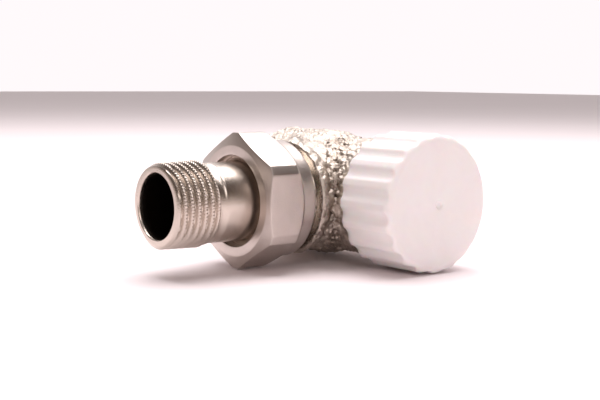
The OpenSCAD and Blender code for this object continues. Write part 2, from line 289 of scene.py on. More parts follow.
@dataclass
class Lumps:
    """Seeded smooth noise: a sum of plane waves with chosen lengths.

    Attributes:
        seed: number that fixes the waves.
        wavelength: middle length of the waves in millimetres.
        count: number of waves.
    """

    seed: int
    wavelength: float
    count: int = 26

    def __call__(self, p: np.ndarray) -> np.ndarray:
        """Return the noise at points, with a spread of about 1.

        Formula: root of 2/count times the sum of sin(2 pi k . p + phase), with k of random
        direction and of length 1/wavelength times 0.6 to 1.7.
        """
        rng = np.random.default_rng(self.seed)
        way = rng.normal(size=(self.count, 3))
        way /= np.linalg.norm(way, axis=1, keepdims=True)
        wave = way * (rng.uniform(0.6, 1.7, self.count) / self.wavelength)[:, None] * 2 * math.pi
        phase = rng.uniform(0, 2 * math.pi, self.count)
        total = np.zeros(p.shape[0])
        for k, ph in zip(wave, phase):
            total += np.sin(p @ k + ph)
        return total * math.sqrt(2.0 / self.count)


@dataclass
class SurfaceNet:
    """Turns a field, negative inside a solid, into a closed net of four-sided faces.

    Attributes:
        field: function of an array of points by 3 that gives the field in millimetres.
        lines: the grid's coordinates along x, y and z, which may be unevenly spaced.
    """

    field: Callable[[np.ndarray], np.ndarray]
    lines: tuple[np.ndarray, np.ndarray, np.ndarray]

    def build(self) -> tuple[np.ndarray, np.ndarray]:
        """Mesh the field.

        Formula: each grid cell that the surface crosses gets one vertex, the mean of the points
        where it crosses the cell's edges, and each crossed grid edge joins its four cells in a
        face. The vertices are then moved onto the surface along the field's slope.

        Returns:
            The vertices by 3 and the faces by 4.
        """
        xs, ys, zs = self.lines
        size = (xs.size, ys.size, zs.size)
        nodes = np.stack(np.meshgrid(xs, ys, zs, indexing="ij"), axis=-1)
        value = self.field(nodes.reshape(-1, 3)).reshape(size)
        inside = value < 0
        cells = tuple(n - 1 for n in size)
        total = np.zeros(cells + (3,))
        count = np.zeros(cells)
        crossed = []
        for axis in range(3):
            low = [slice(None)] * 3
            high = [slice(None)] * 3
            low[axis], high[axis] = slice(0, -1), slice(1, None)
            a, b = value[tuple(low)], value[tuple(high)]
            cut = inside[tuple(low)] != inside[tuple(high)]
            t = np.where(cut, a / np.where(cut, a - b, 1.0), 0.0)[..., None]
            where = (nodes[tuple(low)] * (1 - t) + nodes[tuple(high)] * t) * cut[..., None]
            others = [k for k in range(3) if k != axis]
            for da in (0, 1):
                for db in (0, 1):
                    part = [slice(None)] * 3
                    part[others[0]] = slice(da, cells[others[0]] + da)
                    part[others[1]] = slice(db, cells[others[1]] + db)
                    total += where[tuple(part)]
                    count += cut[tuple(part)]
            crossed.append((axis, others, cut, inside[tuple(low)]))
        live = count > 0
        number = np.cumsum(live.ravel()).reshape(cells) - 1
        points = total[live] / count[live][:, None]
        faces = []
        for axis, others, cut, inner in crossed:
            at = np.argwhere(cut)
            first, second = others
            at = at[(at[:, first] > 0) & (at[:, second] > 0)]
            at = at[(at[:, first] < cells[first]) & (at[:, second] < cells[second])]
            quad = []
            for da, db in ((1, 1), (0, 1), (0, 0), (1, 0)):
                cell = at.copy()
                cell[:, first] -= da
                cell[:, second] -= db
                quad.append(number[tuple(cell.T)])
            quad = np.stack(quad, axis=1)
            flip = inner[tuple(at.T)] != (axis == 1)
            faces.append(np.where(flip[:, None], quad, quad[:, ::-1]))
        return self.settle(points), np.vstack(faces)

    def settle(self, points: np.ndarray, rounds: int = 3) -> np.ndarray:
        """Move points onto the surface.

        Formula: each round takes off value times slope over slope squared, at most 0.15 mm.

        Args:
            points: vertices by 3.
            rounds: number of rounds.

        Returns:
            The moved vertices.
        """
        step = 0.02
        for _ in range(rounds):
            slope = np.stack(
                [(self.field(points + step * e) - self.field(points - step * e)) / (2 * step) for e in np.eye(3)],
                axis=1,
            )
            move = self.field(points)[:, None] * slope / np.maximum((slope**2).sum(axis=1), 0.25)[:, None]
            length = np.linalg.norm(move, axis=1, keepdims=True)
            points = points - move * np.minimum(1.0, 0.15 / np.maximum(length, 1e-9))
        return points


# ---------------------------------------------------------------- shader maths


@dataclass
class Wire:
    """A number coming out of a node; arithmetic on it adds Math nodes."""

    graph: "Graph"
    socket: bpy.types.NodeSocket

    def math(self, operation: str, *others: Union["Wire", float], clamp: bool = False) -> "Wire":
        """Add one Math node that takes this number first."""
        values = dict(enumerate((self, *others)))
        return self.graph.wire(self.graph.add("ShaderNodeMath", {"operation": operation, "use_clamp": clamp}, values))

    def __add__(self, other: Union["Wire", float]) -> "Wire":
        """Return the sum."""
        return self.math("ADD", other)

    __radd__ = __add__

    def __mul__(self, other: Union["Wire", float]) -> "Wire":
        """Return the product."""
        return self.math("MULTIPLY", other)

    __rmul__ = __mul__

    def __sub__(self, other: Union["Wire", float]) -> "Wire":
        """Return the difference."""
        return self.math("SUBTRACT", other)

    def __rsub__(self, other: float) -> "Wire":
        """Return a plain number less this one."""
        return self.math("MULTIPLY_ADD", -1.0, other)

    def __truediv__(self, other: Union["Wire", float]) -> "Wire":
        """Return the quotient."""
        return self.math("DIVIDE", other)

    def __pow__(self, power: float) -> "Wire":
        """Return a power."""
        return self.math("POWER", power)

    def clamped(self) -> "Wire":
        """Return the number held between 0 and 1."""
        return self.math("ADD", 0.0, clamp=True)

    def between(self, low: float, high: float) -> "Wire":
        """Return 0 at ``low`` and less, 1 at ``high`` and more, and a straight rise between."""
        return self.math("MULTIPLY_ADD", 1.0 / (high - low), -low / (high - low), clamp=True)


@dataclass
class Graph:
    """A node tree with one way to add a node."""

    tree: bpy.types.NodeTree

    def add(self, kind: str, settings: dict[str, object] | None = None, values: Values | None = None) -> bpy.types.Node:
        """Add a node.

        Args:
            kind: the node's type.
            settings: attributes, set first; ``stops`` lists a ramp's places and colours.
            values: numbers, tuples or wires for the sockets, by name or number.

        Returns:
            The node.
        """
        node = self.tree.nodes.new(kind)
        for name, value in (settings or {}).items():
            if name == "stops":
                while len(node.color_ramp.elements) < len(value):
                    node.color_ramp.elements.new(1.0)
                for element, (place, colour) in zip(node.color_ramp.elements, value):
                    element.position, element.color = place, (*colour, 1.0)
            else:
                setattr(node, name, value)
        for name, value in (values or {}).items():
            if isinstance(value, Wire):
                self.tree.links.new(value.socket, node.inputs[name])
            else:
                node.inputs[name].default_value = value
        return node

    def wire(self, node: bpy.types.Node, output: Union[int, str] = 0) -> Wire:
        """Return one of a node's outputs."""
        return Wire(self, node.outputs[output])

    def place(self, middle: Colour = (0.0, 0.026, 0.0), scale: Colour = (1.0, 1.0, 1.0)) -> Wire:
        """Return Object coordinates, centred on a point of the frame and stretched."""
        coordinates = self.add("ShaderNodeTexCoord")
        moved = tuple(-m * s for m, s in zip(middle, scale))
        values = {"Vector": self.wire(coordinates, "Object"), "Location": moved, "Scale": scale}
        return self.wire(self.add("ShaderNodeMapping", None, values))

    def noise(self, vector: Wire, scale: float, detail: float = 3.0, rough: float = 0.55, warp: float = 0.0) -> Wire:
        """Return noise from about 0.25 to 0.75, with ``scale`` features in each metre."""
        values = {"Vector": vector, "Scale": scale, "Detail": detail, "Roughness": rough, "Distortion": warp}
        return self.wire(self.add("ShaderNodeTexNoise", None, values), "Fac")

    def mask(self, name: str) -> Wire:
        """Return the number that ``add_mask`` stored on the piece."""
        return self.wire(self.add("ShaderNodeAttribute", {"attribute_name": name}), "Fac")

    def mix(self, factor: Wire, first: Union[Wire, Colour], second: Union[Wire, Colour]) -> Wire:
        """Return a colour between two colours."""
        both = [v if isinstance(v, Wire) else (*v, 1.0) for v in (first, second)]
        node = self.add("ShaderNodeMix", {"data_type": "RGBA"}, {0: factor, 6: both[0], 7: both[1]})
        return self.wire(node, 2)

    def split(self, vector: Wire) -> tuple[Wire, Wire, Wire]:
        """Return a vector's three numbers."""
        node = self.add("ShaderNodeSeparateXYZ", None, {0: vector})
        return self.wire(node, 0), self.wire(node, 1), self.wire(node, 2)

    def bump(self, height: Wire, distance: float, strength: float = 1.0, under: Wire | None = None) -> Wire:
        """Return a normal bent by a height from 0 to 1 that stands for ``distance`` metres."""
        values: Values = {"Height": height, "Distance": distance, "Strength": strength}
        if under is not None:
            values["Normal"] = under
        return self.wire(self.add("ShaderNodeBump", None, values))


# ---------------------------------------------------------------- finishes


@dataclass(frozen=True)
class Finish:
    """A surface finish.

    Attributes:
        title: name of the material.
        slot: name of a material slot; not used.
        colour: main colour, linear.
        roughness: middle roughness.
    """

    title: str
    slot: str
    colour: Colour
    roughness: float

    def material(self) -> bpy.types.Material:
        """Return the finish's material, made once."""
        made = bpy.data.materials.get(self.title)
        if made is not None:
            return made
        made = bpy.data.materials.new(self.title)
        made.use_nodes = True
        made.node_tree.nodes.clear()
        graph = Graph(made.node_tree)
        shader = graph.add("ShaderNodeBsdfPrincipled", None, {"Base Color": (*self.colour, 1.0), "Roughness": self.roughness})
        graph.add("ShaderNodeOutputMaterial", None, {"Surface": graph.wire(shader)})
        self.dress(graph, shader)
        return made

    def dress(self, graph: Graph, shader: bpy.types.Node) -> None:
        """Add the finish's detail."""
        raise NotImplementedError

    def feed(self, graph: Graph, shader: bpy.types.Node, **wires: Wire) -> None:
        """Link wires to the shader's sockets, named with _ for a space."""
        for name, wire in wires.items():
            graph.tree.links.new(wire.socket, shader.inputs[name.replace("_", " ")])


@dataclass(frozen=True)
class CastNickel(Finish):
    """Nickel plate on a sand-cast skin: grainy, with random brown stains and painted shade in the crease beside the
    cap.
    """

    # Brown of the random stains, also used for the painted shade in the crease between barrel and spigot.
    hollow: Colour = (0.13, 0.085, 0.055)

    def dress(self, graph: Graph, shader: bpy.types.Node) -> None:
        """Mix in brown stains from noise and painted shade from the hollow mask along the crease, and raise a coarse
        and a fine grain.
        """
        place = graph.place()
        grain = graph.noise(place, 1500.0, 4.0, 0.65)
        patch = graph.noise(place, 420.0, 3.0, 0.6, 0.6)
        # Painted shade: the hollow mask darkens the crease by the cap; the patch noise adds real brown stains.
        stain_and_crease_shade = (patch.between(0.45, 0.68) * 0.55 + graph.mask("hollow") * 0.8) * grain.between(0.3, 0.62)
        machined = graph.mask("machined")
        stain_and_crease_shade = (stain_and_crease_shade * (1 - machined)).clamped()
        shader.inputs["Metallic"].default_value = 1.0
        rough = self.roughness + (grain - 0.5) * 0.35 - machined * 0.14
        first = graph.bump(grain * (1 - machined * 0.85), 0.00022, 1.0)
        self.feed(
            graph,
            shader,
            Base_Color=graph.mix(stain_and_crease_shade, self.colour, self.hollow),
            Roughness=rough,
            Normal=graph.bump(patch * (1 - machined), 0.0006, 0.8, first),
        )


@dataclass(frozen=True)
class TurnedNickel(Finish):
    """Satin nickel plate on a turned surface.

    Attributes:
        marks: depth of the turning marks in metres.
        speckle: spread of the grain's roughness.
    """

    marks: float = 0.000012
    speckle: float = 0.12

    def dress(self, graph: Graph, shader: bpy.types.Node) -> None:
        """Add fine rings about the outlet axis, a grain in the sheen and painted shade darkening the bore."""
        place = graph.place()
        x, y, z = graph.split(place)
        radius = (y * y + z * z).math("SQRT")
        rings = graph.add("ShaderNodeTexNoise", {"noise_dimensions": "1D"}, {"W": radius + x, "Scale": 4200.0, "Detail": 2.0})
        grain = graph.noise(place, 2600.0, 3.0, 0.7)
        cloud = graph.noise(place, 160.0, 3.0, 0.5)
        inside = graph.mask("inside")
        shader.inputs["Metallic"].default_value = 1.0
        tint = graph.mix((cloud.between(0.35, 0.7) * 0.5 + grain * 0.25).clamped(), self.colour, tuple(c * 0.8 for c in self.colour))
        fine = graph.bump(grain, 0.00004, 1.0)
        self.feed(
            graph,
            shader,
            # Painted shade: the inside mask darkens the tail's bore to near-black brown.
            Base_Color=graph.mix(inside, tint, (0.055, 0.036, 0.024)),
            Roughness=self.roughness + (grain - 0.5) * self.speckle + inside * 0.1,
            Normal=graph.bump(graph.wire(rings, "Fac"), self.marks, 1.0, fine),
        )


@dataclass(frozen=True)
class CapPlastic(Finish):
    """White moulded plastic, slightly uneven, with faint scuffs."""

    def dress(self, graph: Graph, shader: bpy.types.Node) -> None:
        """Add flow clouds to the colour and a soft unevenness to the surface."""
        place = graph.place((0.0, 0.0605, 0.0))
        cloud = graph.noise(place, 90.0, 4.0, 0.55, 0.8)
        scuff = graph.noise(graph.place((0.0, 0.0605, 0.0), (1.0, 1.0, 3.5)), 420.0, 4.0, 0.6, 2.0)
        shader.inputs["Subsurface Weight"].default_value = 0.25
        shader.inputs["Subsurface Scale"].default_value = 0.0015
        self.feed(
            graph,
            shader,
            Base_Color=graph.mix(cloud.between(0.3, 0.7), self.colour, tuple(c * 0.965 for c in self.colour)),
            Roughness=self.roughness + (scuff - 0.5) * 0.25,
            Normal=graph.bump(cloud + scuff * 0.12, 0.0004, 0.5),
        )


@dataclass(frozen=True)
class PlainMetal(Finish):
    """Machined bare metal of the inner pieces."""

    def dress(self, graph: Graph, shader: bpy.types.Node) -> None:
        """Add turning marks about the stem and stains."""
        place = graph.place()
        stain = graph.noise(place, 300.0, 4.0, 0.6)
        marks = graph.noise(graph.place(scale=(0.05, 1.0, 0.05)), 5000.0, 2.0)
        shader.inputs["Metallic"].default_value = 1.0
        self.feed(
            graph,
            shader,
            Base_Color=graph.mix(stain.between(0.4, 0.7), self.colour, tuple(c * 0.6 for c in self.colour)),
            Roughness=self.roughness + (stain - 0.5) * 0.3,
            Normal=graph.bump(marks, 0.00002, 1.0),
        )


@dataclass(frozen=True)
class SoftPart(Finish):
    """Rubber or plain plastic of the inner pieces."""

    def dress(self, graph: Graph, shader: bpy.types.Node) -> None:
        """Add a fine moulded grain and dull patches."""
        place = graph.place()
        grain = graph.noise(place, 1800.0, 3.0, 0.6)
        patch = graph.noise(place, 250.0, 3.0, 0.6)
        self.feed(
            graph,
            shader,
            Base_Color=graph.mix(patch.between(0.3, 0.7), self.colour, tuple(c * 0.8 + 0.01 for c in self.colour)),
            Roughness=self.roughness + (patch - 0.5) * 0.2,
            Normal=graph.bump(grain, 0.00005, 1.0),
        )


@dataclass(frozen=True)
class FloorSheet(Finish):
    """Pale matt sheet that the valve lies on."""

    def dress(self, graph: Graph, shader: bpy.types.Node) -> None:
        """Add a hardly visible unevenness."""
        cloud = graph.noise(graph.place(), 6.0, 2.0, 0.5)
        shader.inputs["Specular IOR Level"].default_value = 0.15
        self.feed(
            graph,
            shader,
            Base_Color=graph.mix(cloud.between(0.3, 0.7), self.colour, tuple(c * 0.985 for c in self.colour)),
        )


CASTING = CastNickel("nickel on sand casting", "nickel_casting", (0.60, 0.535, 0.47), 0.36)
NUT_SATIN = TurnedNickel("satin nickel of the nut", "nickel_turned", (0.60, 0.535, 0.495), 0.33)
TAIL_BRIGHT = TurnedNickel("bright nickel of the tail", "nickel_turned", (0.64, 0.565, 0.50), 0.24, 0.000008, 0.08)
CAP_WHITE = CapPlastic("white cap plastic", "white_plastic", (0.90, 0.865, 0.86), 0.36)
BRASS = PlainMetal("bare brass", "bare_brass", (0.78, 0.56, 0.27), 0.32)
STEEL = PlainMetal("bright steel", "bright_steel", (0.58, 0.57, 0.56), 0.25)
RUBBER = SoftPart("black rubber", "black_rubber", (0.018, 0.018, 0.019), 0.55)
PALE = SoftPart("pale plastic", "pale_plastic", (0.80, 0.77, 0.68), 0.42)
FLOOR = FloorSheet("pale sheet", "floor", (0.93, 0.86, 0.875), 0.75)


# ---------------------------------------------------------------- sub-assemblies


@dataclass
class ValveCasting:
    """The sand casting: inlet boss, bulge, barrel, head thread and outlet spigot.

    Attributes:
        boss_corner: radius over the eight corners of the inlet boss.
        head_thread: radius of the thread under the cap; not used.
        spigot_thread: radius of the union's thread; not used.
        inlet_thread: crest radius of the inlet thread.
        chamber: radius of the room round the disc.
        seat: radius of the hole in the seat.
        blend: rounding between the barrel and the spigot.
    """

    boss_corner: float = 16.5
    head_thread: float = 14.85
    spigot_thread: float = 13.15
    inlet_thread: float = 9.3
    chamber: float = 9.25
    seat: float = 5.0
    blend: float = 2.4
    coarse: Lumps = field(default_factory=lambda: Lumps(11, 3.4))
    medium: Lumps = field(default_factory=lambda: Lumps(23, 1.5))
    fine: Lumps = field(default_factory=lambda: Lumps(37, 0.85))

    def barrel(self, rho: np.ndarray, y: np.ndarray) -> np.ndarray:
        """Field of the turned forms on the stem axis: distance from the axis less a profile of y."""
        heights = [-17.0, -15.2, -13.6, -11.5, -4.5, -2.5, 0.2, 2.0, 16.4, 17.2, 18.4, 19.0, 23.8, 24.5]
        radii = [14.6, 15.1, 15.8, 16.2, 16.2, 15.8, 15.0, 14.6, 14.6, 14.0, 14.0, 14.85, 14.85, 14.15]
        side = rho - np.interp(y, heights, radii)
        return np.maximum(np.maximum(side, y - 24.5), -17.0 - y)

    def boss(self, x: np.ndarray, y: np.ndarray, z: np.ndarray, rho: np.ndarray) -> np.ndarray:
        """Field of the eight-sided boss: rounded greatest of four pairs of flats, ends and a chamfer."""
        flat = self.boss_corner * math.cos(math.pi / 8)
        side = np.full_like(x, -1e3)
        for k in range(4):
            a = math.radians(22.5 + 45.0 * k)
            side = smooth_max(side, np.abs(x * math.cos(a) + z * math.sin(a)) - flat, 0.7)
        chamfer = (rho - y - (self.boss_corner - 1.8 + 26.0)) * math.sqrt(0.5)
        return smooth_max(smooth_max(side, chamfer, 0.3), np.maximum(-26.0 - y, y + 13.0), 0.3)

    def spigot(self, sig: np.ndarray, x: np.ndarray) -> np.ndarray:
        """Field of the outlet spigot with its rib: distance from the axis less a profile of x."""
        along = [1.0, 12.5, 15.2, 16.4, 17.3, 18.5, 19.3, 19.8, 21.2, 22.0, 30.2, 31.0]
        radii = [13.6, 13.6, 13.05, 13.8, 14.2, 14.2, 13.8, 12.15, 12.15, 13.15, 13.15, 12.35]
        return np.maximum(np.maximum(sig - np.interp(x, along, radii), x - 31.0), 1.0 - x)

    def flash(self, p: np.ndarray) -> np.ndarray:
        """Height of the ragged seam where the two halves of the mould met, highest at z = 0."""
        wobble = self.coarse(p[:, [0, 1, 1]] * 0.8) * 0.35
        return 0.42 * np.exp(-(((p[:, 2] - wobble) / 0.75) ** 2))

    def crease(self, p: np.ndarray) -> np.ndarray:
        """Nearness, 0 to 1, to the seam between barrel and spigot on the side of the cap."""
        rho = np.hypot(p[:, 0], p[:, 2])
        sig = np.hypot(p[:, 1], p[:, 2])
        off = np.hypot(np.maximum(rho - 14.6, 0.0), np.maximum(sig - 13.4, 0.0))
        near = np.exp(-((np.abs(rho - 14.6) + np.abs(sig - 13.4)) / 2.6) ** 2)
        return np.where(p[:, 1] > 0, near * np.exp(-((off / 2.5) ** 2)), 0.0)

    def rough(self, p: np.ndarray) -> np.ndarray:
        """Height of the casting's skin: three sizes of lumps and the mould seam, none where machined."""
        height = 0.10 * self.coarse(p) + 0.085 * self.medium(p) + 0.04 * self.fine(p)
        knot = self.crease(p)
        height = height * (1.0 + 1.3 * knot) + self.flash(p) * (0.5 + knot)
        return height * (1.0 - self.machined(p))

    def machined(self, p: np.ndarray) -> np.ndarray:
        """Share of cutting, 0 on the cast skin and 1 on threads, bores and end faces."""
        rho = np.hypot(p[:, 0], p[:, 2])
        sig = np.hypot(p[:, 1], p[:, 2])
        head = np.clip((p[:, 1] - 16.6) / 0.6, 0, 1)
        spout = np.clip((p[:, 0] - 19.0) / 0.5, 0, 1)
        foot = np.clip((-25.4 - p[:, 1]) / 0.4, 0, 1)
        bores = np.clip((12.2 - rho) / 0.8, 0, 1) * (p[:, 0] < 15) + np.clip((11.4 - sig) / 0.8, 0, 1) * (p[:, 0] > 8)
        return np.clip(head + spout + foot + bores, 0, 1)

    def waterways(self, p: np.ndarray, rho: np.ndarray, sig: np.ndarray) -> np.ndarray:
        """Field of the hollows: inlet thread, way to the seat, chamber with its raised seat, outlet."""
        x, y = p[:, 0], p[:, 1]
        angle = np.arctan2(x, p[:, 2]) / (2 * math.pi)
        groove = 1.1 * thread_wave(y / 1.814 - angle) * np.clip((-13.6 - y) / 1.2, 0, 1)
        groove += 1.2 * np.clip((-24.6 - y) / 1.2, 0, 1) * (1 - thread_wave(y / 1.814 - angle))
        inlet = np.maximum(rho - np.interp(y, [-13.0, -11.8], [self.inlet_thread, 7.5]) - groove, y + 9.2)
        hole = np.maximum(rho - self.seat, np.abs(y + 8.0) - 3.0)
        room = np.maximum(rho - np.interp(y, [16.0, 16.05], [self.chamber, 10.85]), -7.7 - y)
        lip = np.maximum(rho - np.interp(y, [-7.7, -6.5], [6.7, 6.3]), y + 6.5)
        stem = np.minimum(np.minimum(inlet, hole), np.maximum(room, -lip))
        mouth = np.interp(x, [27.3, 27.31, 31.0], [7.5, 8.75, 10.95])
        return np.minimum(stem, np.maximum(sig - mouth, -x))

    def __call__(self, p: np.ndarray) -> np.ndarray:
        """Field of the whole casting, negative in the metal."""
        x, y, z = p[:, 0], p[:, 1], p[:, 2]
        rho, sig = np.hypot(x, z), np.hypot(y, z)
        head = 0.85 * thread_wave(y / 1.5 - np.arctan2(x, z) / (2 * math.pi)) * (np.abs(y - 21.6) < 2.9)
        spout = 1.1 * thread_wave(x / 1.814 - np.arctan2(z, y) / (2 * math.pi)) * (np.abs(x - 26.4) < 4.6)
        outer = smooth_min(self.barrel(rho, y) + head, self.spigot(sig, x) + spout, self.blend)
        outer = smooth_min(outer, self.boss(x, y, z, rho), 0.8)
        near = np.abs(outer) < 1.6
        skin = np.zeros_like(outer)
        skin[near] = self.rough(p[near])
        return np.maximum(outer - skin, -self.waterways(p, rho, sig))

    def build(self) -> None:
        """Mesh the casting, store its masks and let it stand for its CAD node."""
        lines = (
            np.concatenate([np.arange(-17.3, 19.4, 0.42), np.arange(19.4, 31.6, 0.28)]),
            np.concatenate([np.arange(-26.5, -12.4, 0.32), np.arange(-12.4, 18.2, 0.42), np.arange(18.2, 25.0, 0.24)]),
            np.arange(-17.43, 17.6, 0.42),
        )
        points, faces = SurfaceNet(self, lines).build()
        piece = mesh_object("casting", points, faces, 62.0)
        # The hollow mask marks where shade is painted: along the crease between barrel and spigot.
        add_mask(piece, "hollow", self.crease(points))
        add_mask(piece, "machined", self.machined(points))
        piece.data.materials.append(CASTING.material())
        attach(piece, "housing")
        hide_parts("valve_body")


@dataclass
class UnionNut:
    """Hexagon union nut with a collar behind and a lip in front.

    Attributes:
        flats: size across the flats.
        corner: radius to which the corners are turned.
        front: place of the front face along the outlet.
        back: place of the back face.
        bore: radius of the hole in the lip.
        ring: radius of the flat front ring.
        collar: radius of the round collar.
        thread: radius of the union's thread.
    """

    flats: float = 30.0
    corner: float = 16.65
    front: float = 36.2
    back: float = 21.7
    bore: float = 11.2
    ring: float = 13.5
    collar: float = 14.5
    thread: float = 13.23

    def angles(self) -> np.ndarray:
        """Angles about the axis, closer together where the flats meet the turned corners."""
        edge = math.degrees(math.acos(self.flats / 2 / self.corner))
        part = np.concatenate([np.linspace(-edge, edge, 41)[:-1], np.linspace(edge, 60.0 - edge, 15)[:-1]])
        return np.radians((part[None, :] + 60.0 * np.arange(6)[:, None]).ravel())

    def outline(self, angle: np.ndarray) -> np.ndarray:
        """Radius of the hexagon: half the flats over the cosine from the nearest flat, cut at the corner."""
        turn = (angle + math.pi / 6) % (math.pi / 3) - math.pi / 6
        return smooth_min(self.flats / 2 / np.cos(turn), np.full_like(turn, self.corner), 0.12)

    def build(self) -> None:
        """Make the nut from one profile for each angle.

        Formula: the front and back chamfers are cones, so their edges on a flat lie where the cone's
        radius equals the outline's, which gives the curved edges of a real nut.
        """
        angle = self.angles()
        out = self.outline(angle)
        flat = np.ones_like(out)
        front_edge = self.front - (out - self.ring) * (0.96 / (self.corner - self.ring))
        back_edge = self.back + 3.7 + (out - self.collar) * (1.8 / (self.corner - self.collar))
        corners = np.stack(
            [
                np.stack([along * flat, radius * flat], axis=1)
                for along, radius in (
                    (self.front, self.bore),
                    (self.front, self.ring),
                    (front_edge, out),
                    (back_edge, out),
                    (self.back + 3.7, self.collar),
                    (self.back, self.collar),
                    (self.back, self.thread + 0.6),
                    (self.back + 0.6, self.thread),
                    (self.front - 2.8, self.thread),
                    (self.front - 2.8, self.bore),
                )
            ],
            axis=1,
        )
        loop = rounded_loop(corners, np.array([0.25, 0.12, 0.2, 0.25, 0.3, 0.5, 0.2, 0.2, 0.2, 0.2]), 4)
        loop = split_sides(loop, 0.8)
        points = around(Axis.OUTLET, angle[:, None], loop[..., 1], loop[..., 0])
        piece = ring_object("nut_hexagon", points, 30.0)
        # The nut gets none of the painted bore shade.
        add_mask(piece, "inside", np.zeros(points.shape[:2]))
        piece.data.materials.append(NUT_SATIN.material())
        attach(piece, "nut")
        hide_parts("union_nut")


@dataclass
class UnionTail:
    """Turned tail: nose, collar, filleted neck, run-out groove and the radiator thread.

    Attributes:
        end: place of the tail's end along the outlet.
        thread_start: place where the thread runs out.
        crest: crest radius of the thread at its end.
        taper: growth of the crest radius towards the neck.
        pitch: pitch of the thread.
        depth: depth of the thread.
        neck: radius of the neck.
        bore: radius of the bore.
        notches: serrations in one turn of a crest.
    """

    end: float = 58.0
    thread_start: float = 45.9
    crest: float = 10.14
    taper: float = 0.34
    pitch: float = 1.814
    depth: float = 1.12
    neck: float = 9.65
    bore: float = 7.7
    notches: int = 76

    def profile(self) -> tuple[np.ndarray, np.ndarray]:
        """List the outer profile from the nose to the end, with close points along the thread.

        Returns:
            Places along the outlet and plain radii, without the thread.
        """
        fillet = np.radians(np.linspace(90.0, 180.0, 7))
        steps = [(27.6, 7.75), (27.6, 8.6), (29.3, 9.6), (31.0, 10.6), (31.0, 11.8), (31.2, 12.0), (33.1, 12.0), (33.4, 11.8)]
        x = [s[0] for s in steps] + list(33.4 + 1.2 + 1.2 * np.cos(fillet[::-1]))
        r = [s[1] for s in steps] + list(self.neck + 1.2 - 1.2 * np.sin(fillet[::-1]))
        x += list(np.linspace(35.2, 43.6, 12)) + [44.0, 44.3, 44.6, 45.4]
        r += [self.neck] * 12 + [self.neck, self.neck - 0.15, self.neck - 0.4, self.neck - 0.4]
        thread = np.arange(45.6, self.end - 0.02, 0.115)
        x += list(thread)
        r += list(self.crest + self.taper * (self.end - thread) / 12.0)
        return np.array(x), np.array(r)

    def outer(self, angle: np.ndarray, x: np.ndarray, plain: np.ndarray) -> np.ndarray:
        """Cut the thread into the plain radii.

        Formula: radius less depth times the thread wave of x/pitch less the share of a turn. The
        crests lose up to 0.22 mm at each notch. The thread fades in over the first millimetre, and
        the end chamfer is a cone that takes the lesser radius.

        Args:
            angle: angles about the axis as a column.
            x: places along the outlet as a row.
            plain: radii as a row.

        Returns:
            Radii of angles by places.
        """
        lead = (x - 55.85) / self.pitch - angle / (2 * math.pi)
        wave = thread_wave(lead)
        fade = np.clip((x - self.thread_start) / 1.0, 0.0, 1.0)
        notch = 0.5 - 0.5 * np.cos(self.notches * angle + 2.1 * np.floor(lead + 0.5))
        crest = np.clip(1.0 - wave / 0.3, 0.0, 1.0)
        cut = self.depth * wave + 0.24 * crest * notch**2
        threaded = plain - np.where(x > 45.5, cut, 0.0)
        floor_r = self.neck - 0.4
        radius = np.where(x > 45.5, floor_r + (threaded - floor_r) * fade, plain)
        chamfer = 9.25 + (self.end - x) * 1.15
        return smooth_min(radius, np.where(x > 50, chamfer, 1e3), 0.08)

    def build(self) -> None:
        """Make the tail from a grid of angles by profile points, with two key ribs in its bore."""
        turns = self.notches * 7
        angle = (np.arange(turns) * 2 * math.pi / turns)[:, None]
        x, plain = self.profile()
        outside = self.outer(angle, x[None, :], plain[None, :])
        bore_x = np.concatenate([[58.0, 58.0, 57.75, 57.4], np.linspace(56.6, 46.3, 10), [46.05, 46.0, 45.95]])
        bore_x = np.concatenate([bore_x, np.linspace(44.0, 38.0, 5), [37.05, 37.0, 36.95], np.linspace(35.5, 27.9, 6)])
        bore_r = np.full((turns, bore_x.size), self.bore)
        bore_r[:, 0], bore_r[:, 1], bore_r[:, 2] = self.bore + 1.1, self.bore + 0.35, self.bore + 0.1
        rib = np.clip((1.35 - np.abs(self.bore * np.cos(angle))) / 0.15, 0.0, 1.0)
        held = (bore_x > 36.98) & (bore_x < 46.02)
        bore_r -= 1.2 * rib * held[None, :]
        radius = np.hstack([outside, bore_r])
        along = np.broadcast_to(np.concatenate([x, bore_x]), radius.shape)
        points = around(Axis.OUTLET, angle, radius, along)
        piece = ring_object("tail_turned", points, 42.0)
        # Painted shade deep in the bore: the inside mask rises from the mouth inwards.
        deep = np.clip((bore_x[None, :] * -1 + 57.7) / 1.2, 0.0, 1.0) * np.ones((turns, 1))
        add_mask(piece, "inside", np.hstack([np.zeros_like(outside), deep]))
        piece.data.materials.append(TAIL_BRIGHT.material())
        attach(piece, "tail")
        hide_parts("tailpiece")


